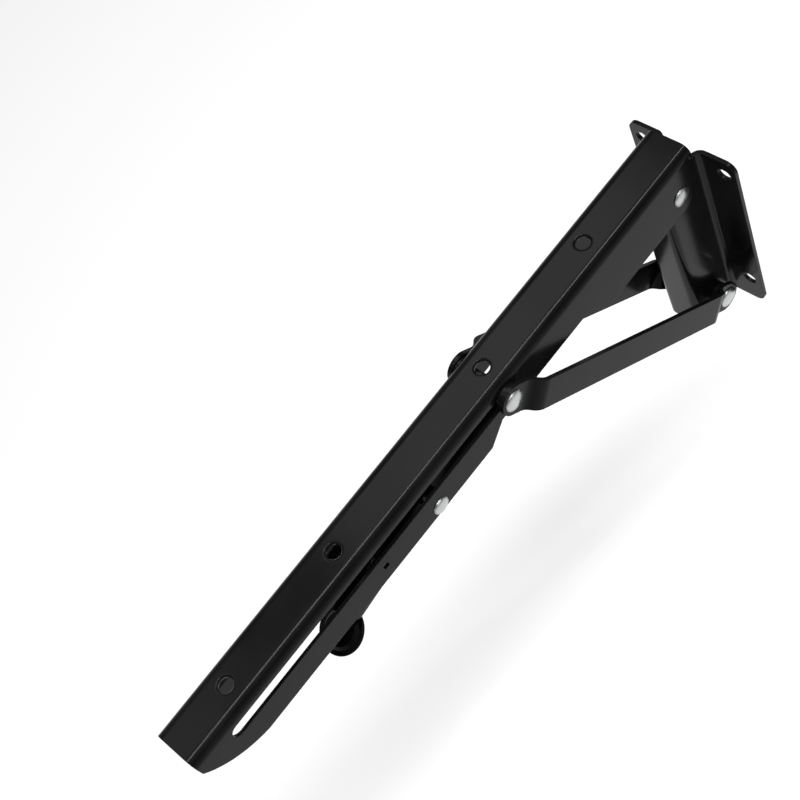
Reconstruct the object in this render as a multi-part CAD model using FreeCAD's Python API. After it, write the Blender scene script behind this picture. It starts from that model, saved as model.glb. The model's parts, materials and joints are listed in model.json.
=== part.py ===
"""Folding drop leaf table bracket: wall plate, shelf arm, two struts and a release lever.

Row frame: X points out of the wall, Y across the bracket, Z up. The origin is on the wall face,
at the middle of the four wall screw holes. The arm is modelled open, at a right angle to the wall.
"""
import FreeCAD, Part
import math
import os
from FreeCAD import Vector

# Shared fits
SIDE_CLEARANCE = 0.3      # arm wall to the hat inside it, each side
RUNNING_CLEARANCE = 0.05  # radius of a rivet in the hole that turns on it
SEAT_GAP = 0.1            # between flat faces that turn past each other
PIN_PLAY = 0.3            # pin to slot, each side

# Wall plate, a hat-section pressing
PLATE_SHEET = 1.8
PLATE_WIDTH = 53.3
PLATE_HEIGHT = 103.2
PLATE_ABOVE_HOLES = 8.6
PLATE_BELOW_HOLES = 15.5
PLATE_CORNER = 5.0
HAT_DEPTH = 26.6
HAT_BEND = 1.5
FLANGE_BEND = 2.8
WALL_HOLE_FROM_EDGE = 6.0
WALL_HOLE_DIAMETER = 6.5

# Hinge of the arm, from the wall face and from the top of the wall plate
HINGE_FROM_WALL = 18.0
HINGE_BELOW_TOP = 9.75

# Shelf arm, a folded channel open downwards; lengths along it start at the hinge, depths at the web
ARM_LENGTH = 305.0
ARM_BEHIND_HINGE = 11.3
ARM_WIDTH = 21.5
ARM_SHEET = 1.5
ARM_BEND = 3.2
HINGE_DEPTH = 20.0
WALL_DEPTH = 27.6
LUG_DEPTH = 30.1
LUG_LENGTH = 53.0
LUG_END_SLOPE = 5.0
LUG_CORNER = 5.5
NOTCH_DEPTH = 19.6
NOTCH_START = 61.0
NOTCH_END = 118.5
NOTCH_SLOPE = 10.0
TIP_DEPTH = 9.8
TIP_TAPER = 27.5
TIP_BULGE = 3.5
WEB_HOLES_FROM_HINGE = (45.3, 110.0)
WEB_HOLES_FROM_TIP = (92.7, 29.7)
WEB_HOLE_DIAMETER = 6.5
WEB_SINK_DIAMETER = 7.8
WEB_SINK_DEPTH = 0.5
SLOT_DEPTH = 10.2
SLOT_FROM_TIP = 20.7

# Sliding pin of the struts
PIN_REACH = 112.0
PIN_DIAMETER = 6.5
PIN_HEAD_DIAMETER = 9.8
PIN_WASHER_DIAMETER = 12.0

# Struts, joggled flat bars outside the arm
STRUT_GAP = 2.0
STRUT_SHEET = 2.0
STRUT_WIDTH = 14.2
STRUT_END = 6.4
STRUT_JOGGLE = 4.5
STRUT_JOGGLE_RADIUS = 6.0
STRUT_JOGGLE_START = 5.8
STRUT_FROM_WALL = 11.8
STRUT_ABOVE_FOOT = 9.05
STRUT_RIVET_DIAMETER = 6.0
STRUT_RIVET_HEAD = 10.0
SPACER_DIAMETER = 9.5

# Rivets of the arm and the lever
HINGE_RIVET_DIAMETER = 6.0
HINGE_RIVET_HEAD = 8.8
LEVER_RIVET_DIAMETER = 5.0
LEVER_RIVET_HEAD = 8.0
HEAD_HEIGHT = 1.1
HEAD_RIM = 0.3

# Release lever, a small channel with a round thumb pad; lengths along it start at its rivet
LEVER_REACH = 159.7
LEVER_DEPTH = 23.75
LEVER_ANGLE = 12.0
LEVER_SIDE_GAP = 1.0
LEVER_SHEET = 1.2
LEVER_BEND = 2.0
LEVER_WEB_DROP = 5.8
LEVER_EAR_RISE = 4.5
LEVER_EAR_LENGTH = 8.0
LEVER_EAR_SLOPE = 22.0
LEVER_TAIL = 48.0
LEVER_TAIL_EAR = 22.0
NOSE_GAP = 0.5
NECK_TAPER = 2.9
NECK_RISE = 1.4
NECK_END_TAPER = 4.5
NECK_END_WALL = 5.2
NECK_END = 58.0
PAD_REACH = 62.8
PAD_DIAMETER = 21.4
PAD_FLAT_DIAMETER = 14.0
PAD_DISH = 1.3
PAD_STEP = 1.6
PAD_EDGE = 0.5
PAD_DROP = 1.0
PAD_TILT = 9.0

# Torsion spring on the lever rivet
WIRE = 1.2
WIRE_BEND_SWELL = 0.04
COIL_CLEARANCE = 0.4
COIL_TURNS = 5.5
COIL_PITCH = 1.3
SPRING_HOLE_REACH = 191.6
SPRING_HOLE_DEPTH = 19.9
SPRING_HOLE_SIZE = 2.8
SPRING_LEG = 27.0

# Worked out from the sizes above
WALL_HOLE_Y = PLATE_WIDTH / 2 - WALL_HOLE_FROM_EDGE
WALL_HOLE_Z = (PLATE_HEIGHT - PLATE_ABOVE_HOLES - PLATE_BELOW_HOLES) / 2
PLATE_TOP = WALL_HOLE_Z + PLATE_ABOVE_HOLES
PLATE_FOOT = PLATE_TOP - PLATE_HEIGHT
HINGE = Vector(HINGE_FROM_WALL, 0, PLATE_TOP - HINGE_BELOW_TOP)
WEB_TOP = HINGE.z + HINGE_DEPTH
ARM_HALF = ARM_WIDTH / 2
ARM_INNER = ARM_HALF - ARM_SHEET
ARM_END = ARM_LENGTH - ARM_BEHIND_HINGE
HAT_HALF = ARM_INNER - SIDE_CLEARANCE
STRUT_INNER = ARM_HALF + STRUT_GAP
STRUT_OUTER = STRUT_INNER + STRUT_SHEET
STRUT_PIVOT = Vector(STRUT_FROM_WALL, 0, PLATE_FOOT + STRUT_ABOVE_FOOT)
SLOT_WIDTH = PIN_DIAMETER + 2 * PIN_PLAY
LEVER_WIDTH = 2 * (ARM_INNER - LEVER_SIDE_GAP)


def on_arm(along, depth, y=0.0):
    """Point on the open arm, from its length past the hinge and its depth under the web's top."""
    return Vector(HINGE_FROM_WALL + along, y, WEB_TOP - depth)


PIN = on_arm(PIN_REACH, SLOT_DEPTH)
LEVER_PIVOT = on_arm(LEVER_REACH, LEVER_DEPTH)
ACROSS = Vector(0, 1, 0)


def closed_wire(start, *steps):
    """Closed wire of lines (a point each) and arcs (a pair each: a point on it, its end)."""
    edges = []
    here = start
    for step in steps + (start,):
        if isinstance(step, tuple):
            via, end = step
            edges.append(Part.Arc(here, via, end).toShape())
        else:
            end = step
            edges.append(Part.LineSegment(here, end).toShape())
        here = end
    return Part.Wire(edges)


def prism(wire, travel):
    """Solid swept by a closed flat wire."""
    return Part.Face(wire).extrude(travel)


def cylinder_across(centre, diameter, half_length):
    """Cylinder along Y, centred on a point."""
    foot = centre - ACROSS * half_length
    return Part.makeCylinder(diameter / 2, 2 * half_length, foot, ACROSS)


def ring_across(centre, outer, inner, y_from, y_to):
    """Washer or sleeve along Y between two stations."""
    foot = centre + ACROSS * y_from
    length = y_to - y_from
    body = Part.makeCylinder(outer / 2, length, foot, ACROSS)
    return body.cut(Part.makeCylinder(inner / 2, length, foot, ACROSS))


def channel_wire(place, width, sheet, bend, web, edge):
    """Outline of a folded channel section: outside of the web at one level, wall edges at another."""
    up = 1 if edge > web else -1
    outer = width / 2
    inner = outer - sheet
    radius = bend + sheet
    flat = outer - radius
    bend_level = web + up * radius
    slant = math.sqrt(0.5)

    def turn(side, r):
        return place(side * (flat + r * slant), bend_level - up * r * slant)

    return closed_wire(
        place(-outer, edge),
        place(-outer, bend_level), (turn(-1, radius), place(-flat, web)),
        place(flat, web), (turn(1, radius), place(outer, bend_level)),
        place(outer, edge), place(inner, edge),
        place(inner, bend_level), (turn(1, bend), place(flat, web + up * sheet)),
        place(-flat, web + up * sheet), (turn(-1, bend), place(-inner, bend_level)),
        place(-inner, edge))


def hat_wire():
    """Outline of the wall plate's hat section at its foot: flanges, sides and front."""
    sheet, depth = PLATE_SHEET, HAT_DEPTH
    half, side, tip = HAT_HALF, HAT_HALF - PLATE_SHEET, PLATE_WIDTH / 2
    foot_in, foot_out = FLANGE_BEND, FLANGE_BEND + PLATE_SHEET
    foot_x, foot_y = foot_out, HAT_HALF + FLANGE_BEND
    nose_in, nose = HAT_BEND, HAT_BEND + PLATE_SHEET
    nose_x, nose_y = depth - nose, HAT_HALF - nose
    slant = math.sqrt(0.5)

    def at(x, y):
        return Vector(x, y, PLATE_FOOT)

    def foot_turn(sign, r):
        return at(foot_x - r * slant, sign * (foot_y - r * slant))

    def nose_turn(sign, r):
        return at(nose_x + r * slant, sign * (nose_y + r * slant))

    return closed_wire(
        at(0, tip), at(sheet, tip), at(sheet, foot_y),
        (foot_turn(1, foot_in), at(foot_x, half)), at(nose_x, half),
        (nose_turn(1, nose), at(depth, nose_y)), at(depth, -nose_y),
        (nose_turn(-1, nose), at(nose_x, -half)), at(foot_x, -half),
        (foot_turn(-1, foot_in), at(sheet, -foot_y)), at(sheet, -tip), at(0, -tip), at(0, -foot_y),
        (foot_turn(-1, foot_out), at(foot_x, -side)), at(nose_x, -side),
        (nose_turn(-1, nose_in), at(depth - sheet, -nose_y)), at(depth - sheet, nose_y),
        (nose_turn(1, nose_in), at(nose_x, side)), at(foot_x, side),
        (foot_turn(1, foot_out), at(0, foot_y)))


def wall_plate():
    """Hat-section pressing with rounded flange corners, screw holes and the two rivet holes."""
    plate = prism(hat_wire(), Vector(0, 0, PLATE_HEIGHT))
    reach = HAT_DEPTH + PLATE_SHEET
    blank = Part.makeBox(reach, PLATE_WIDTH, PLATE_HEIGHT, Vector(0, -PLATE_WIDTH / 2, PLATE_FOOT))
    corners = [e for e in blank.Edges if abs(e.tangentAt(e.FirstParameter).x) > 0.9]
    plate = plate.common(blank.makeFillet(PLATE_CORNER, corners))
    for y in (-WALL_HOLE_Y, WALL_HOLE_Y):
        for z in (-WALL_HOLE_Z, WALL_HOLE_Z):
            plate = plate.cut(Part.makeCylinder(WALL_HOLE_DIAMETER / 2, reach, Vector(0, y, z),
                                                Vector(1, 0, 0)))
    plate = plate.cut(cylinder_across(HINGE, HINGE_RIVET_DIAMETER, ARM_WIDTH))
    return plate.cut(cylinder_across(STRUT_PIVOT, STRUT_RIVET_DIAMETER, ARM_WIDTH))


def arm_outline():
    """Side outline of the arm: hinge lug, notch over the strut rivet, straight wall, tapered tip."""
    lug_bottom = LUG_DEPTH - LUG_CORNER
    lug_back = -ARM_BEHIND_HINGE + LUG_END_SLOPE
    slant = LUG_CORNER * (1 - math.sqrt(0.5))
    taper_start = ARM_END - TIP_TAPER
    chord_mid = on_arm(ARM_END - TIP_TAPER / 2, (TIP_DEPTH + WALL_DEPTH) / 2)
    chord = Vector(TIP_TAPER, 0, WALL_DEPTH - TIP_DEPTH)
    bulge = Vector(chord.z, 0, -chord.x) * (TIP_BULGE / chord.Length)
    return closed_wire(
        on_arm(-ARM_BEHIND_HINGE, 0), on_arm(ARM_END, 0), on_arm(ARM_END, TIP_DEPTH),
        (chord_mid + bulge, on_arm(taper_start, WALL_DEPTH)),
        on_arm(NOTCH_END + NOTCH_SLOPE, WALL_DEPTH), on_arm(NOTCH_END, NOTCH_DEPTH),
        on_arm(NOTCH_START, NOTCH_DEPTH), on_arm(LUG_LENGTH, LUG_DEPTH),
        on_arm(lug_back + LUG_CORNER, LUG_DEPTH),
        (on_arm(lug_back + slant, LUG_DEPTH - slant), on_arm(lug_back, lug_bottom)),
        on_arm(-ARM_BEHIND_HINGE, ARM_SHEET + ARM_BEND))


def shelf_arm():
    """Folded channel with a web on top, cut to its side outline, slotted and drilled."""
    def place(y, depth):
        return on_arm(-ARM_BEHIND_HINGE, depth, y)

    section = channel_wire(place, ARM_WIDTH, ARM_SHEET, ARM_BEND, 0, LUG_DEPTH)
    arm = prism(section, Vector(ARM_LENGTH, 0, 0))
    side = prism(arm_outline(), ACROSS * (2 * ARM_WIDTH))
    side.translate(ACROSS * -ARM_WIDTH)
    arm = arm.common(side)
    for along in WEB_HOLES_FROM_HINGE + tuple(ARM_END - back for back in WEB_HOLES_FROM_TIP):
        top = on_arm(along, 0)
        arm = arm.cut(Part.makeCylinder(WEB_HOLE_DIAMETER / 2, ARM_SHEET, top, Vector(0, 0, -1)))
        arm = arm.cut(Part.makeCone(WEB_SINK_DIAMETER / 2, WEB_HOLE_DIAMETER / 2, WEB_SINK_DEPTH,
                                    top, Vector(0, 0, -1)))
    arm = arm.cut(slot_cutter())
    arm = arm.cut(cylinder_across(HINGE, HINGE_RIVET_DIAMETER + 2 * RUNNING_CLEARANCE, ARM_WIDTH))
    arm = arm.cut(cylinder_across(LEVER_PIVOT, LEVER_RIVET_DIAMETER, ARM_WIDTH))
    half = SPRING_HOLE_SIZE / 2
    corner = on_arm(SPRING_HOLE_REACH - half, SPRING_HOLE_DEPTH + half)
    return arm.cut(Part.makeBox(SPRING_HOLE_SIZE, ARM_WIDTH, SPRING_HOLE_SIZE, corner))


def slot_cutter():
    """Round-ended slot through both arm walls for the sliding pin."""
    start = on_arm(PIN_REACH, SLOT_DEPTH)
    finish = on_arm(ARM_END - SLOT_FROM_TIP, SLOT_DEPTH)
    ends = [cylinder_across(end, SLOT_WIDTH, ARM_WIDTH) for end in (start, finish)]
    corner = start + Vector(0, -ARM_WIDTH, -SLOT_WIDTH / 2)
    middle = Part.makeBox(finish.x - start.x, 2 * ARM_WIDTH, SLOT_WIDTH, corner)
    return middle.fuse(ends)


def joggle_points(start, length, turn, offset, level):
    """Start, arc points and end of one face through a joggle that steps outwards."""
    first = STRUT_JOGGLE_RADIUS - offset
    second = STRUT_JOGGLE_RADIUS + offset
    centre_in = Vector(start, level + STRUT_JOGGLE_RADIUS, 0)
    centre_out = Vector(start + length, level + STRUT_JOGGLE - STRUT_JOGGLE_RADIUS, 0)

    def on_first(angle):
        return centre_in + Vector(math.sin(angle), -math.cos(angle), 0) * first

    def on_second(angle):
        return centre_out + Vector(-math.sin(angle), math.cos(angle), 0) * second

    return on_first(0), on_first(turn / 2), on_first(turn), on_second(turn / 2), on_second(0)


def joggled_bar(length):
    """Flat bar with round ends, stepped outwards between its two holes, lying along X from the first."""
    half = STRUT_WIDTH / 2
    level = STRUT_INNER + STRUT_SHEET / 2
    turn = math.acos(1 - STRUT_JOGGLE / (2 * STRUT_JOGGLE_RADIUS))
    run = 2 * STRUT_JOGGLE_RADIUS * math.sin(turn)

    def mirrored(point):
        return Vector(length - point.x, point.y, 0)

    inner = joggle_points(STRUT_JOGGLE_START, run, turn, -STRUT_SHEET / 2, level)
    outer = joggle_points(STRUT_JOGGLE_START, run, turn, STRUT_SHEET / 2, level)
    a, b, c, d, e = inner
    p, q, r, s, t = [mirrored(point) for point in inner]
    f, g, h, i, j = outer
    u, v, w, x, y = [mirrored(point) for point in outer]
    edge = closed_wire(
        Vector(-STRUT_END, STRUT_INNER, 0), a, (b, c), (d, e), t, (s, r), (q, p),
        Vector(length + STRUT_END, STRUT_INNER, 0), Vector(length + STRUT_END, STRUT_OUTER, 0),
        u, (v, w), (x, y), j, (i, h), (g, f), Vector(-STRUT_END, STRUT_OUTER, 0))
    bar = prism(edge, Vector(0, 0, STRUT_WIDTH))
    bar.translate(Vector(0, 0, -half))
    first, last = half - STRUT_END, length + STRUT_END - half
    plan = closed_wire(
        Vector(first, 0, half), (Vector(first - half, 0, 0), Vector(first, 0, -half)),
        Vector(last, 0, -half), (Vector(last + half, 0, 0), Vector(last, 0, half)))
    return bar.common(prism(plan, ACROSS * (STRUT_OUTER + STRUT_JOGGLE)))


def strut(side):
    """One strut on its rivet and pin, on the side given by the sign."""
    line = PIN - STRUT_PIVOT
    bar = joggled_bar(line.Length)
    reach = STRUT_OUTER + STRUT_JOGGLE
    turning = STRUT_RIVET_DIAMETER / 2 + RUNNING_CLEARANCE
    bar = bar.cut(Part.makeCylinder(turning, reach, Vector(0, 0, 0), ACROSS))
    bar = bar.cut(Part.makeCylinder(PIN_DIAMETER / 2, reach, Vector(line.Length, 0, 0), ACROSS))
    if side < 0:
        bar = bar.mirror(Vector(0, 0, 0), ACROSS)
    rise = math.degrees(math.atan2(line.z, line.x))
    bar.rotate(Vector(0, 0, 0), ACROSS, -rise)
    bar.translate(STRUT_PIVOT)
    return bar


def rivet_head(centre, diameter, side):
    """Low domed head standing on a face across the bracket."""
    radius = diameter / 2
    dome = HEAD_HEIGHT - HEAD_RIM
    sphere = (radius ** 2 + dome ** 2) / (2 * dome)
    half_turn = math.asin(radius / sphere) / 2
    via = Vector(sphere * math.sin(half_turn), HEAD_HEIGHT - sphere * (1 - math.cos(half_turn)), 0)
    outline = closed_wire(Vector(0, 0, 0), Vector(radius, 0, 0), Vector(radius, HEAD_RIM, 0),
                          (via, Vector(0, HEAD_HEIGHT, 0)))
    head = Part.Face(outline).revolve(Vector(0, 0, 0), ACROSS, 360)
    if side < 0:
        head = head.mirror(Vector(0, 0, 0), ACROSS)
    head.translate(centre)
    return head


def rivet(centre, diameter, head_diameter, seat):
    """Through rivet with a head on each outer face."""
    heads = [rivet_head(centre + ACROSS * (side * seat), head_diameter, side) for side in (-1, 1)]
    return cylinder_across(centre, diameter, seat).fuse(heads).removeSplitter()


def pin_head(side):
    """Head of the sliding pin with the stub that fills the strut's eye."""
    face = PIN + ACROSS * (side * STRUT_OUTER)
    stub = Part.makeCylinder(PIN_DIAMETER / 2 - RUNNING_CLEARANCE, STRUT_SHEET, face,
                             ACROSS * -side)
    return stub.fuse(rivet_head(face, PIN_HEAD_DIAMETER, side)).removeSplitter()


def sided_ring(centre, outer, inner, y_from, y_to, side):
    """Ring along Y on one side of the bracket."""
    low, high = sorted((side * y_from, side * y_to))
    return ring_across(centre, outer, inner, low, high)


def nose_rise():
    """Rise of the lever's tail over its rivet that stays just under the sliding pin."""
    angle = math.radians(LEVER_ANGLE)
    pin_bottom = LEVER_DEPTH - SLOT_DEPTH - PIN_DIAMETER / 2 - NOSE_GAP
    return (pin_bottom - LEVER_TAIL * math.sin(angle)) / math.cos(angle)


def lever_section(along, width, rise):
    """Channel section of the lever, web outwards, at one station along it."""
    def place(y, level):
        return Vector(along, y, level)

    return channel_wire(place, width, LEVER_SHEET, LEVER_BEND, -LEVER_WEB_DROP, rise)


def thumb_pad():
    """Round pad at the end of the lever, tilted down: flat middle, step, rim with a round edge."""
    radius = PAD_DIAMETER / 2
    flat = PAD_FLAT_DIAMETER / 2
    edge = radius - PAD_EDGE
    foot = flat + PAD_STEP
    rim = -LEVER_WEB_DROP - PAD_DROP
    floor = rim + PAD_DISH

    def at(r, level):
        return Vector(PAD_REACH + r, 0, level)

    outline = closed_wire(
        at(0, floor), at(flat, floor), at(foot, rim), at(edge, rim),
        (at(radius, rim + LEVER_SHEET / 2), at(edge, rim + LEVER_SHEET)),
        at(foot, rim + LEVER_SHEET), at(flat, floor + LEVER_SHEET), at(0, floor + LEVER_SHEET))
    pad = Part.Face(outline).revolve(at(0, 0), Vector(0, 0, 1), 360)
    pad.rotate(at(0, rim), ACROSS, PAD_TILT)
    return pad


def release_lever():
    """Small channel on its rivet: stop nose at the pin end, narrowing neck, round thumb pad."""
    nose = nose_rise()
    stations = [(-LEVER_TAIL, LEVER_WIDTH, nose),
                (-LEVER_TAIL_EAR, LEVER_WIDTH, LEVER_EAR_RISE),
                (LEVER_EAR_LENGTH, LEVER_WIDTH, LEVER_EAR_RISE),
                (LEVER_EAR_LENGTH + LEVER_EAR_SLOPE, LEVER_WIDTH - NECK_TAPER, NECK_RISE),
                (NECK_END, LEVER_WIDTH - NECK_END_TAPER, NECK_END_WALL - LEVER_WEB_DROP)]
    lever = Part.makeLoft([lever_section(*station) for station in stations], True, True)
    inner = LEVER_WIDTH - 2 * LEVER_SHEET
    tab_foot = Vector(-LEVER_TAIL, -inner / 2, LEVER_SHEET - LEVER_WEB_DROP)
    tab = Part.makeBox(LEVER_SHEET, inner, nose - tab_foot.z, tab_foot)
    lever = lever.fuse([tab, thumb_pad()]).removeSplitter()
    bore = LEVER_RIVET_DIAMETER + 2 * RUNNING_CLEARANCE
    lever = lever.cut(cylinder_across(Vector(0, 0, 0), bore, LEVER_WIDTH)).Solids[0]
    lever.rotate(Vector(0, 0, 0), ACROSS, LEVER_ANGLE)
    lever.translate(LEVER_PIVOT)
    return lever


def wire_run(start, finish):
    """Straight round wire with rounded ends, the first one a little fuller where it leaves a bend."""
    line = finish - start
    run = Part.makeCylinder(WIRE / 2, line.Length, start, line)
    bend = Part.makeSphere(WIRE / 2 + WIRE_BEND_SWELL, start)
    return run.fuse([bend, Part.makeSphere(WIRE / 2, finish)])


def lever_spring():
    """Torsion spring round the lever rivet, one leg in the arm's square hole, one on the lever."""
    radius = LEVER_RIVET_DIAMETER / 2 + COIL_CLEARANCE + WIRE / 2
    height = COIL_TURNS * COIL_PITCH
    helix = Part.makeHelix(COIL_PITCH, height, radius)
    start = Vector(radius, 0, 0)
    heading = Vector(0, 2 * math.pi * radius, COIL_PITCH)
    section = Part.Wire(Part.Circle(start, heading, WIRE / 2).toShape())
    coil = Part.Wire(helix.Edges).makePipeShell([section], True, True)
    turn = FreeCAD.Rotation(Vector(0, 0, 1), Vector(-1, 0, 0), Vector(0, -1, 0), "XYZ")
    coil.Placement = FreeCAD.Placement(LEVER_PIVOT + ACROSS * (height / 2), turn)

    top = LEVER_PIVOT + Vector(0, height / 2, radius)
    hook = on_arm(SPRING_HOLE_REACH, SPRING_HOLE_DEPTH, height / 2)
    hook_end = on_arm(SPRING_HOLE_REACH, SPRING_HOLE_DEPTH, ARM_HALF - WIRE)
    bottom = LEVER_PIVOT + Vector(0, -height / 2, -radius)
    angle = math.radians(LEVER_ANGLE)
    rest = LEVER_WEB_DROP - LEVER_SHEET - WIRE / 2 - SEAT_GAP
    leg_end = LEVER_PIVOT + Vector(SPRING_LEG * math.cos(angle) - rest * math.sin(angle),
                                   -height / 2,
                                   -SPRING_LEG * math.sin(angle) - rest * math.cos(angle))
    legs = [wire_run(top, hook), wire_run(hook, hook_end), wire_run(bottom, leg_end)]
    return coil.fuse(legs).Solids[0]


PIECES = {
    "wall_plate": wall_plate(),
    "shelf_arm": shelf_arm(),
    "release_lever": release_lever(),
    "lever_spring": lever_spring(),
    "hinge_rivet": rivet(HINGE, HINGE_RIVET_DIAMETER, HINGE_RIVET_HEAD, ARM_HALF + SEAT_GAP),
    "strut_rivet": rivet(STRUT_PIVOT, STRUT_RIVET_DIAMETER, STRUT_RIVET_HEAD,
                         STRUT_OUTER + SEAT_GAP),
    "lever_rivet": rivet(LEVER_PIVOT, LEVER_RIVET_DIAMETER, LEVER_RIVET_HEAD, ARM_HALF),
    "slide_pin": cylinder_across(PIN, PIN_DIAMETER, STRUT_INNER - SEAT_GAP),
}
for side_name, side_sign in (("left", -1), ("right", 1)):
    PIECES["strut_" + side_name] = strut(side_sign)
    PIECES["pin_head_" + side_name] = pin_head(side_sign)
    PIECES["pin_washer_" + side_name] = sided_ring(
        PIN, PIN_WASHER_DIAMETER, PIN_DIAMETER, ARM_HALF + SEAT_GAP, STRUT_INNER - SEAT_GAP,
        side_sign)
    PIECES["strut_spacer_" + side_name] = sided_ring(
        STRUT_PIVOT, SPACER_DIAMETER, STRUT_RIVET_DIAMETER, HAT_HALF, STRUT_INNER - SEAT_GAP,
        side_sign)

os.makedirs("parts", exist_ok=True)
for node, shape in PIECES.items():
    shape.exportStep("parts/" + node + ".step")
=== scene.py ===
"""Looks of a folding drop leaf table bracket: black coat, zinc rivets, spring wire, stage and camera."""
import json
import math

import bpy
from mathutils import Matrix, Vector


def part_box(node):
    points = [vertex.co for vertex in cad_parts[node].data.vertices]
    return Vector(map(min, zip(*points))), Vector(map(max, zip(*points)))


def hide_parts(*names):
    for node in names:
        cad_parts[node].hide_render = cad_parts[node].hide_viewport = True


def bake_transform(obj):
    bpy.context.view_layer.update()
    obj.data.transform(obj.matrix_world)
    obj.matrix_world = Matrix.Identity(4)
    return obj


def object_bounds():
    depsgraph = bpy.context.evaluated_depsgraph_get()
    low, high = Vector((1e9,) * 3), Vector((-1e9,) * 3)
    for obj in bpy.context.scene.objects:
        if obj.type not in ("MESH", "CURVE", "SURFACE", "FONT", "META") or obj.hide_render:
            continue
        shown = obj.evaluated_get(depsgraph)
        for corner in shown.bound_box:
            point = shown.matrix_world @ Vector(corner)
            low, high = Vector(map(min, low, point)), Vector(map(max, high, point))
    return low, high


bl_info = {
    "name": "Drop leaf table bracket",
    "version": (1, 0, 0),
    "blender": (4, 5, 0),
    "location": "View3D > Sidebar > Bracket",
    "description": "Finishes a folding bracket for a drop leaf and sets up its studio",
    "category": "Object",
}

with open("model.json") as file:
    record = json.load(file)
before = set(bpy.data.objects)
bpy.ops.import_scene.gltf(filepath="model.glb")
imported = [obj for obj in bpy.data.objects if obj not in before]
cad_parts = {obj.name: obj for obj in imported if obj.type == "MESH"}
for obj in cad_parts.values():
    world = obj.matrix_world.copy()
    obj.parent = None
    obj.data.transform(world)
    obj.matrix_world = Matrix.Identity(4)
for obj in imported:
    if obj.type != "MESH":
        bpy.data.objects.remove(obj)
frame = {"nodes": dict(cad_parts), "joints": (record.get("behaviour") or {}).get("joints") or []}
NODES = frame["nodes"]
CAD_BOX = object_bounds()
CAD_MIDDLE = (CAD_BOX[0] + CAD_BOX[1]) / 2
MM = 0.001

# Places on the bracket
JOINT_PLACES = {joint["name"]: joint["pos_m"] for joint in frame["joints"] if "pos_m" in joint}
HINGE_X, _, HINGE_Z = JOINT_PLACES["arm_fold"]
ARM_TIP_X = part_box("shelf_arm")[1].x
FOLDED_LOW = HINGE_Z - (ARM_TIP_X - HINGE_X)
WEB_HOLES_FROM_HINGE = (45.3 * MM, 110.0 * MM)
WEB_HOLES_FROM_TIP = (92.7 * MM, 29.7 * MM)
WEB_HOLE_PLACES = (*(HINGE_X + along for along in WEB_HOLES_FROM_HINGE),
                   *(ARM_TIP_X - back for back in WEB_HOLES_FROM_TIP))
WEB_SINK_RADIUS = 3.9 * MM

# Pieces by finish
COATED_SHEET = ("wall_plate", "strut_left", "strut_right", "release_lever", "pin_washer_left",
                "pin_washer_right", "strut_spacer_left", "strut_spacer_right")
PIERCED_SHEET = ("shelf_arm",)
PLATED_RIVETS = ("hinge_rivet", "strut_rivet", "lever_rivet", "slide_pin", "pin_head_left",
                 "pin_head_right")

# Lever spring
WELD = 0.001 * MM
WIRE_CREASE = math.radians(40.0)

# Range that holds most values of a noise texture
NOISE_LOW, NOISE_HIGH = 0.3, 0.7

# Powder coat: clouds are so many ripples wide, and edges are rubbed where the normal turns so far; the
# lighter rubbed edge is also a painted highlight
CLOUD_RIPPLES = 22
CLOUD_START, CLOUD_END = 0.4, 0.65
COAT_ROUGHNESS = (0.14, 0.21)
COAT_SPECULAR = 0.1
RIPPLE_STRENGTH = 0.12
RIPPLE_DEPTH = 0.05 * MM
RUB_AND_HIGHLIGHT_START, RUB_AND_HIGHLIGHT_END, RUB_AND_HIGHLIGHT_MOST = 0.99, 0.85, 0.6

# Zinc plate: hammer marks of the peening
MARK_WIDTH = 2.4 * MM
MARK_STRENGTH = 0.35
MARK_DEPTH = 0.2 * MM
ZINC_ROUGHNESS = (0.26, 0.4)

# Spring wire: draw marks, drawn coarser than real ones so that they show
DRAW_MARK_WIDTH = 0.4 * MM
WIRE_ROUGHNESS = (0.4, 0.6)

# Stage: height of the surround's stops as the sine of the angle above the horizon
HORIZON_TOP, SIDE_LOW, SIDE_HIGH, OVERHEAD = 0.1, 0.26, 0.45, 1.0
PAPER_WHITE = 0.85
SENSOR_WIDTH = 36.0
CLIP_START = 10.0 * MM

# Lamps: name, place from the bracket's middle, length and width, turn in degrees, watts
LAMPS = (
    ("near_strip", Vector((-0.15, 0.26, 0.95)), (0.95, 0.11), -11.0, 7.0),
    ("far_softbox", Vector((-0.28, -0.3, 0.95)), (0.5, 0.7), 0.0, 2.7),
    ("end_card", Vector((0.3, -0.42, 0.95)), (0.25, 0.45), 0.0, 0.45),
)


def linear(hex_colour):
    """Linear colour of an sRGB hex value."""
    parts = [int(hex_colour[i:i + 2], 16) / 255 for i in (1, 3, 5)]
    return tuple(c / 12.92 if c <= 0.04045 else ((c + 0.055) / 1.055) ** 2.4 for c in parts)


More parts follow.
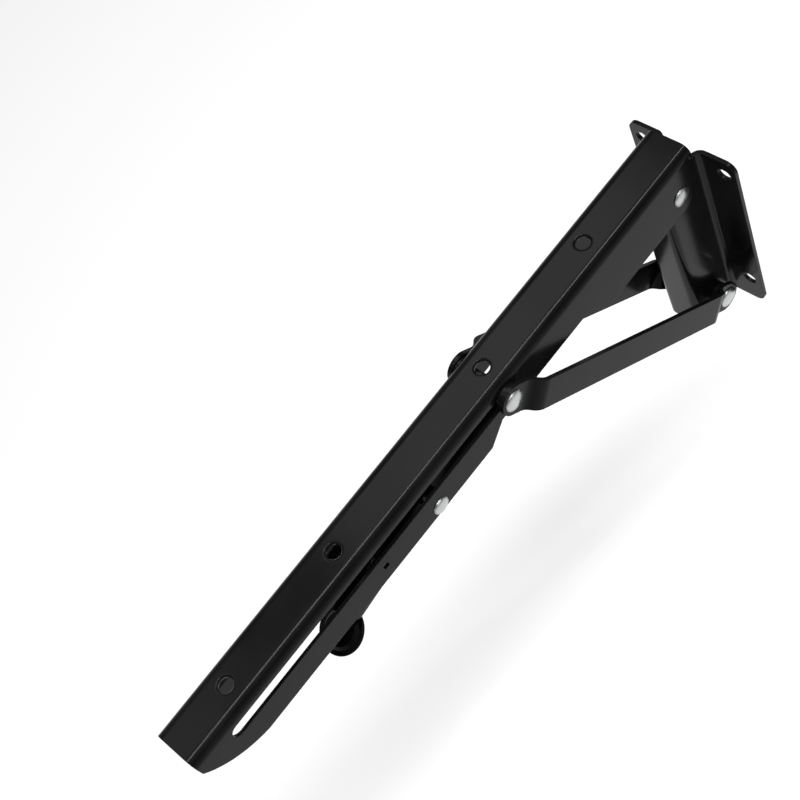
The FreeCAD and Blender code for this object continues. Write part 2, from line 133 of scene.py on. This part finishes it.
class BracketFinish(bpy.types.PropertyGroup):
    """Colours and grain sizes of the bracket's finishes."""
    coat: bpy.props.FloatVectorProperty(
        name="Black coat", description="Colour of the powder coat on the sheet steel",
        subtype="COLOR", default=linear("#0d0d0e"))
    coat_cloud: bpy.props.FloatVectorProperty(
        name="Cloud in the coat", description="Colour of the coat where the film is a little thinner",
        subtype="COLOR", default=linear("#141415"))
    # Rubbed edge colour: thin coat on cut edges, and also a painted highlight along them
    coat_edge_and_highlight: bpy.props.FloatVectorProperty(
        name="Rubbed edge", description="Colour of the coat where it is thin on cut edges",
        subtype="COLOR", default=linear("#1c1c1e"))
    orange_peel: bpy.props.FloatProperty(
        name="Orange peel", description="Width of the coat's ripples", unit="LENGTH",
        default=1.6 * MM)
    edge_round: bpy.props.FloatProperty(
        name="Edge round", description="Radius that the coat gives to a cut edge", unit="LENGTH",
        default=0.35 * MM)
    punch_round: bpy.props.FloatProperty(
        name="Punch round", description="Radius that punching rolls on the upper edge of a web hole",
        unit="LENGTH", default=1.2 * MM)
    rim_round: bpy.props.FloatProperty(
        name="Rim round", description="Radius that peening leaves on a rivet head's rim", unit="LENGTH",
        default=2.1 * MM)
    zinc: bpy.props.FloatVectorProperty(
        name="Zinc", description="Colour of the plating on the rivets", subtype="COLOR",
        default=linear("#c0c2c1"))
    wire: bpy.props.FloatVectorProperty(
        name="Spring wire", description="Colour of the blackened wire", subtype="COLOR",
        default=linear("#0c0c0d"))


class BracketStage(bpy.types.PropertyGroup):
    """Floor, surround and camera of the studio."""
    floor_gap: bpy.props.FloatProperty(
        name="Floor gap", description="Height of the folded arm's tip over the floor", unit="LENGTH",
        default=6.0 * MM)
    floor_size: bpy.props.FloatProperty(
        name="Floor size", description="Side of the square floor", unit="LENGTH", default=12.0)
    floor_glow: bpy.props.FloatProperty(
        name="Floor glow", description="Light that lifts the floor to white where nothing shades it",
        default=0.27)
    horizon_light: bpy.props.FloatProperty(
        name="Horizon light", description="Strength of the surround where it meets the floor",
        default=0.55)
    side_light: bpy.props.FloatProperty(
        name="Side light", description="Strength of the surround at the sides", default=0.1)
    top_light: bpy.props.FloatProperty(
        name="Top light", description="Strength of the surround overhead", default=0.8)
    camera_place: bpy.props.FloatVectorProperty(
        name="Camera place", description="Where the lens stands", subtype="TRANSLATION",
        unit="LENGTH", default=(263.7 * MM, 295.2 * MM, 549.7 * MM))
    camera_aim: bpy.props.FloatVectorProperty(
        name="Camera aim", description="Point of the bracket's mid plane in the middle of the picture",
        subtype="TRANSLATION", unit="LENGTH", default=(163.0 * MM, 0.0, 88.8 * MM))
    camera_roll: bpy.props.FloatProperty(
        name="Camera roll", description="Turn of the camera about its line of sight",
        subtype="ANGLE", default=math.radians(-35.0))
    lens: bpy.props.FloatProperty(
        name="Lens", description="Focal length on a 36 mm wide sensor", subtype="DISTANCE_CAMERA",
        default=68.65)


def add_node(tree, kind, inputs=None, **settings):
    """Add one shader node: settings are its attributes, inputs are values or outputs to link."""
    node = tree.nodes.new(kind)
    for name, value in settings.items():
        setattr(node, name, value)
    sockets = {socket.identifier: socket for socket in node.inputs}
    for name, value in (inputs or {}).items():
        socket = sockets[name] if name in sockets else node.inputs[name]
        if isinstance(value, bpy.types.NodeSocket):
            tree.links.new(value, socket)
        else:
            socket.default_value = value
    return node


def output_of(node, identifier):
    """Output of a node whose outputs share one name."""
    return next(socket for socket in node.outputs if socket.identifier == identifier)


def set_stops(ramp, stops):
    """Put a colour ramp's stops at their positions, lowest first."""
    while len(ramp.elements) < len(stops):
        ramp.elements.new(0.5)
    for element, (position, colour) in zip(ramp.elements, stops):
        element.position = position
        element.color = (*colour, 1)


def new_material(name):
    """Empty node material with its output and one principled shader."""
    material = bpy.data.materials.new(name)
    material.use_nodes = True
    tree = material.node_tree
    tree.nodes.clear()
    shader = add_node(tree, "ShaderNodeBsdfPrincipled")
    add_node(tree, "ShaderNodeOutputMaterial", {"Surface": shader.outputs["BSDF"]})
    return material, tree, shader


def uneven_gloss(tree, shader, pattern, roughness):
    """Let the roughness wander between two values with a noise pattern."""
    low, high = roughness
    rough = add_node(tree, "ShaderNodeMapRange", {
        "Value": pattern, "From Min": NOISE_LOW, "From Max": NOISE_HIGH, "To Min": low, "To Max": high})
    tree.links.new(rough.outputs["Result"], shader.inputs["Roughness"])


def dress(names, material):
    """Give CAD nodes a finish in their own material slots."""
    for name in names:
        for slot in NODES[name].material_slots:
            slot.material = material


class BRACKET_OT_coat_sheet(bpy.types.Operator):
    """Coat the plate, arm, struts, lever, washers and spacers black"""
    bl_idname = "bracket.coat_sheet"
    bl_label = "Coat Sheet Steel"

    def execute(self, context):
        finish = context.scene.bracket_finish
        dress(COATED_SHEET, black_powder_coat("black_powder_coat", finish))
        dress(PIERCED_SHEET, black_powder_coat("black_powder_coat_on_punched_web", finish, punched=True))
        return {"FINISHED"}


class BRACKET_OT_plate_rivets(bpy.types.Operator):
    """Plate the rivets and the sliding pin with bright zinc"""
    bl_idname = "bracket.plate_rivets"
    bl_label = "Plate Rivets"

    def execute(self, context):
        dress(PLATED_RIVETS, bright_zinc(context.scene.bracket_finish))
        return {"FINISHED"}


class BRACKET_OT_wind_spring(bpy.types.Operator):
    """Put in the lever spring as one welded, smoothly shaded piece of blackened wire"""
    bl_idname = "bracket.wind_spring"
    bl_label = "Wind Lever Spring"

    def execute(self, context):
        bpy.ops.object.select_all(action="DESELECT")
        spring = bpy.data.objects.new("wound_lever_spring", NODES["lever_spring"].data.copy())
        context.collection.objects.link(spring)
        context.view_layer.objects.active = spring
        spring.select_set(True)
        bpy.ops.object.mode_set(mode="EDIT")
        bpy.ops.mesh.select_all(action="SELECT")
        bpy.ops.mesh.remove_doubles(threshold=WELD)
        bpy.ops.object.mode_set(mode="OBJECT")
        bpy.ops.object.shade_smooth_by_angle(angle=WIRE_CREASE)
        spring.data.materials.clear()
        spring.data.materials.append(drawn_wire(context.scene.bracket_finish))
        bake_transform(spring)
        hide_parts("lever_spring")
        return {"FINISHED"}


def rolled_rims(tree, place, finish, normal):
    """Normal of a web whose holes have upper edges rolled over by the punch."""
    flat = add_node(tree, "ShaderNodeVectorMath", {0: place, 1: (1, 1, 0)}, operation="MULTIPLY")
    nearest = None
    for x in WEB_HOLE_PLACES:
        reach = add_node(tree, "ShaderNodeVectorMath", {0: flat.outputs["Vector"], 1: (x, 0, 0)},
                         operation="DISTANCE").outputs["Value"]
        if nearest is None:
            nearest = reach
            continue
        nearest = add_node(tree, "ShaderNodeMath", {0: nearest, 1: reach},
                           operation="MINIMUM").outputs["Value"]
    rim = WEB_SINK_RADIUS + finish.punch_round
    share = add_node(tree, "ShaderNodeMapRange", {
        "Value": nearest, "From Min": rim, "From Max": rim + finish.edge_round, "To Min": 1.0,
        "To Max": 0.0})
    rolled = add_node(tree, "ShaderNodeBevel", {"Radius": finish.punch_round}, samples=16)
    choice = add_node(tree, "ShaderNodeMix", data_type="VECTOR", inputs={
        "Factor_Float": share.outputs["Result"], "A_Vector": normal,
        "B_Vector": rolled.outputs["Normal"]})
    return output_of(choice, "Result_Vector")


def black_powder_coat(name, finish, punched=False):
    """Semi-gloss black powder coat on sheet steel.

    Baked powder gives a smooth film with faint ripples, softly rounded over cut edges, where it is
    thinnest and a little greyer; this greyer edge is also a painted highlight. It mirrors its
    surroundings dimly.
    """
    material, tree, shader = new_material(name)
    place = add_node(tree, "ShaderNodeTexCoord").outputs["Object"]
    ripples = add_node(tree, "ShaderNodeTexNoise", {
        "Vector": place, "Scale": 1 / finish.orange_peel, "Detail": 2.0, "Roughness": 0.5})
    cloud = add_node(tree, "ShaderNodeTexNoise", {
        "Vector": place, "Scale": 1 / (CLOUD_RIPPLES * finish.orange_peel), "Detail": 3.0})
    rounded = add_node(tree, "ShaderNodeBevel", {"Radius": finish.edge_round}, samples=6)
    flat = add_node(tree, "ShaderNodeNewGeometry").outputs["Normal"]
    facing = add_node(tree, "ShaderNodeVectorMath", {0: rounded.outputs["Normal"], 1: flat},
                      operation="DOT_PRODUCT")
    # Edge mask: greyer where the coat is thin on cut edges, partly wear and partly a painted highlight
    # along the edges
    edge_wear_and_highlight = add_node(tree, "ShaderNodeMapRange", {
        "Value": facing.outputs["Value"], "From Min": RUB_AND_HIGHLIGHT_START, "From Max": RUB_AND_HIGHLIGHT_END, "To Min": 0.0,
        "To Max": RUB_AND_HIGHLIGHT_MOST})
    film = add_node(tree, "ShaderNodeValToRGB", {"Fac": cloud.outputs["Fac"]})
    set_stops(film.color_ramp, ((CLOUD_START, finish.coat), (CLOUD_END, finish.coat_cloud)))
    colour = add_node(tree, "ShaderNodeMix", data_type="RGBA", inputs={
        "Factor_Float": edge_wear_and_highlight.outputs["Result"], "A_Color": film.outputs["Color"],
        "B_Color": (*finish.coat_edge_and_highlight, 1)})
    tree.links.new(output_of(colour, "Result_Color"), shader.inputs["Base Color"])
    uneven_gloss(tree, shader, cloud.outputs["Fac"], COAT_ROUGHNESS)
    surface = rounded.outputs["Normal"]
    if punched:
        surface = rolled_rims(tree, place, finish, surface)
    bump = add_node(tree, "ShaderNodeBump", {
        "Height": ripples.outputs["Fac"], "Strength": RIPPLE_STRENGTH, "Distance": RIPPLE_DEPTH,
        "Normal": surface})
    tree.links.new(bump.outputs["Normal"], shader.inputs["Normal"])
    shader.inputs["Specular IOR Level"].default_value = COAT_SPECULAR
    return material


def bright_zinc(finish):
    """Bright zinc plate on steel rivets, peened to low domes: pale metal with faint hammer marks."""
    material, tree, shader = new_material("bright_zinc_plate")
    place = add_node(tree, "ShaderNodeTexCoord").outputs["Object"]
    marks = add_node(tree, "ShaderNodeTexNoise", {
        "Vector": place, "Scale": 1 / MARK_WIDTH, "Detail": 3.0})
    shader.inputs["Base Color"].default_value = (*finish.zinc, 1)
    shader.inputs["Metallic"].default_value = 1.0
    uneven_gloss(tree, shader, marks.outputs["Fac"], ZINC_ROUGHNESS)
    rounded = add_node(tree, "ShaderNodeBevel", {"Radius": finish.rim_round}, samples=12)
    bump = add_node(tree, "ShaderNodeBump", {
        "Height": marks.outputs["Fac"], "Strength": MARK_STRENGTH, "Distance": MARK_DEPTH,
        "Normal": rounded.outputs["Normal"]})
    tree.links.new(bump.outputs["Normal"], shader.inputs["Normal"])
    return material


def drawn_wire(finish):
    """Blackened spring steel: dark drawn wire whose draw marks break up a dull, oily shine."""
    material, tree, shader = new_material("blackened_spring_steel")
    place = add_node(tree, "ShaderNodeTexCoord").outputs["Object"]
    draw = add_node(tree, "ShaderNodeTexNoise", {
        "Vector": place, "Scale": 1 / DRAW_MARK_WIDTH, "Detail": 4.0})
    shader.inputs["Base Color"].default_value = (*finish.wire, 1)
    shader.inputs["Metallic"].default_value = 1.0
    uneven_gloss(tree, shader, draw.outputs["Fac"], WIRE_ROUGHNESS)
    return material


class BRACKET_OT_stage(bpy.types.Operator):
    """Add the pale floor, the soft lamps and the camera"""
    bl_idname = "bracket.stage"
    bl_label = "Set Up Stage"

    def execute(self, context):
        stage = context.scene.bracket_stage
        bpy.ops.object.select_all(action="DESELECT")
        lay_floor(stage)
        light_surround(context.scene, stage)
        hang_lamps()
        stand_camera(context.scene, stage)
        context.scene.view_settings.view_transform = "Standard"
        return {"FINISHED"}


def camera_or_mirror(tree):
    """Factor that is 1 on what the camera sees, straight, in a mirror or through glass."""
    path = add_node(tree, "ShaderNodeLightPath").outputs
    first = add_node(tree, "ShaderNodeMath", {0: path["Is Camera Ray"], 1: path["Is Glossy Ray"]},
                     operation="MAXIMUM").outputs["Value"]
    return add_node(tree, "ShaderNodeMath", {0: first, 1: path["Is Transmission Ray"]},
                    operation="MAXIMUM").outputs["Value"]


def lay_floor(stage):
    """Plain white floor under the folded arm's tip; it glows a little so that only shadow greys it."""
    low = FOLDED_LOW - stage.floor_gap
    bpy.ops.mesh.primitive_plane_add(size=stage.floor_size, location=(CAD_MIDDLE.x, CAD_MIDDLE.y, low))
    floor = bpy.context.object
    floor.name = "floor"
    material = bpy.data.materials.new("white_sweep")
    material.use_nodes = True
    tree = material.node_tree
    tree.nodes.clear()
    paper = add_node(tree, "ShaderNodeBsdfDiffuse", {
        "Color": (PAPER_WHITE, PAPER_WHITE, PAPER_WHITE, 1)})
    lift = add_node(tree, "ShaderNodeMath", {0: camera_or_mirror(tree), 1: stage.floor_glow},
                    operation="MULTIPLY")
    glow = add_node(tree, "ShaderNodeEmission", {
        "Color": (1, 1, 1, 1), "Strength": lift.outputs["Value"]})
    both = add_node(tree, "ShaderNodeAddShader", {
        0: paper.outputs["BSDF"], 1: glow.outputs["Emission"]})
    add_node(tree, "ShaderNodeOutputMaterial", {"Surface": both.outputs["Shader"]})
    floor.data.materials.append(material)


def light_surround(scene, stage):
    """Surround with a pale horizon, dark sides and a bright top."""
    world = bpy.data.worlds.new("studio")
    scene.world = world
    world.use_nodes = True
    tree = world.node_tree
    tree.nodes.clear()
    way = add_node(tree, "ShaderNodeSeparateXYZ", {
        "Vector": add_node(tree, "ShaderNodeTexCoord").outputs["Generated"]})
    dimming = add_node(tree, "ShaderNodeValToRGB", {"Fac": way.outputs["Z"]})
    lights = ((HORIZON_TOP, stage.horizon_light), (SIDE_LOW, stage.side_light),
              (SIDE_HIGH, stage.side_light), (OVERHEAD, stage.top_light))
    set_stops(dimming.color_ramp, [(height, (light, light, light)) for height, light in lights])
    back = add_node(tree, "ShaderNodeBackground", {"Color": dimming.outputs["Color"]})
    add_node(tree, "ShaderNodeOutputWorld", {"Surface": back.outputs["Background"]})


def hang_lamps():
    """A long lamp over the near edge and two soft ones over the far side, tilted to the bracket."""
    for name, offset, size, turn, power in LAMPS:
        tilt = -math.atan2(offset.y, offset.z)
        bpy.ops.object.light_add(type="AREA", location=CAD_MIDDLE + offset,
                                 rotation=(tilt, 0, math.radians(turn)))
        lamp = bpy.context.object
        lamp.name = name
        lamp.data.shape = "RECTANGLE"
        lamp.data.size, lamp.data.size_y = size
        lamp.data.energy = power


def stand_camera(scene, stage):
    """Camera on the near side and above, rolled as the picture is."""
    place = Vector(stage.camera_place)
    sight = Vector(stage.camera_aim) - place
    turn = sight.to_track_quat("-Z", "Y").to_matrix() @ Matrix.Rotation(stage.camera_roll, 3, "Z")
    bpy.ops.object.camera_add(location=place, rotation=turn.to_euler())
    camera = bpy.context.object
    camera.data.sensor_width = SENSOR_WIDTH
    camera.data.lens = stage.lens
    camera.data.clip_start = CLIP_START
    scene.camera = camera


class BRACKET_PT_sidebar(bpy.types.Panel):
    """Sidebar panel with the bracket's settings and steps"""
    bl_idname = "BRACKET_PT_sidebar"
    bl_label = "Drop Leaf Bracket"
    bl_space_type = "VIEW_3D"
    bl_region_type = "UI"
    bl_category = "Bracket"

    def draw(self, context):
        for group in (context.scene.bracket_finish, context.scene.bracket_stage):
            for name in group.__annotations__:
                self.layout.prop(group, name)
        for operator in STEPS:
            self.layout.operator(operator.bl_idname)


STEPS = (BRACKET_OT_coat_sheet, BRACKET_OT_plate_rivets, BRACKET_OT_wind_spring, BRACKET_OT_stage)
CLASSES = (BracketFinish, BracketStage, *STEPS, BRACKET_PT_sidebar)


def register():
    for cls in CLASSES:
        bpy.utils.register_class(cls)
    bpy.types.Scene.bracket_finish = bpy.props.PointerProperty(type=BracketFinish)
    bpy.types.Scene.bracket_stage = bpy.props.PointerProperty(type=BracketStage)


def unregister():
    del bpy.types.Scene.bracket_stage
    del bpy.types.Scene.bracket_finish
    for cls in reversed(CLASSES):
        bpy.utils.unregister_class(cls)


def main():
    register()
    bpy.ops.bracket.coat_sheet()
    bpy.ops.bracket.plate_rivets()
    bpy.ops.bracket.wind_spring()
    bpy.ops.bracket.stage()


if __name__ == "__main__":
    main()
